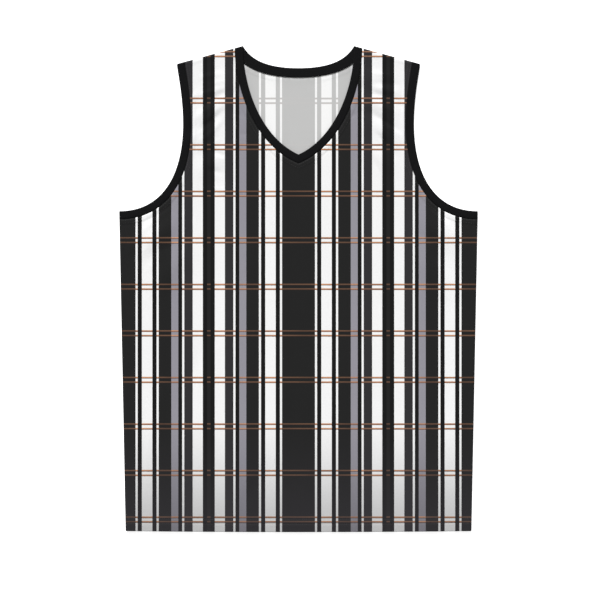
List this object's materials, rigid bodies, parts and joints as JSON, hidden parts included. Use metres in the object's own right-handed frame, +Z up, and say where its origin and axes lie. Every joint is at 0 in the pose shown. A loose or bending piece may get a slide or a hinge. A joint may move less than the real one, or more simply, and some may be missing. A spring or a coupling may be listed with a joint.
{
  "type": "basketball jersey",
  "caption": "Sleeveless V-neck basketball jersey laid out flat, front up, with a printed body and plain dark rib bands at the neck and the armholes.",
  "frame": {"origin": "on the surface the jersey lies on, under the middle of its outline", "axes": "+X towards the right of the picture (the wearer's left), +Y from the hem towards the neck, +Z up, out of the front"},
  "size_m": [0.532, 0.7208, 0.007],
  "materials": {
    "printed_polyester": "smooth interlock polyester with a faint sheen, dye-printed outside in a charcoal, white, grey and bronze bar check, pale on its reverse",
    "black_rib": "matt black rib knit, folded and coverstitched"
  },
  "bodies": {
    "root": {"front_panel": "printed_polyester", "back_panel": "printed_polyester", "neck_band_front": "black_rib", "neck_band_back": "black_rib", "armhole_band_left": "black_rib", "armhole_band_right": "black_rib"}
  },
  "joints": []
}
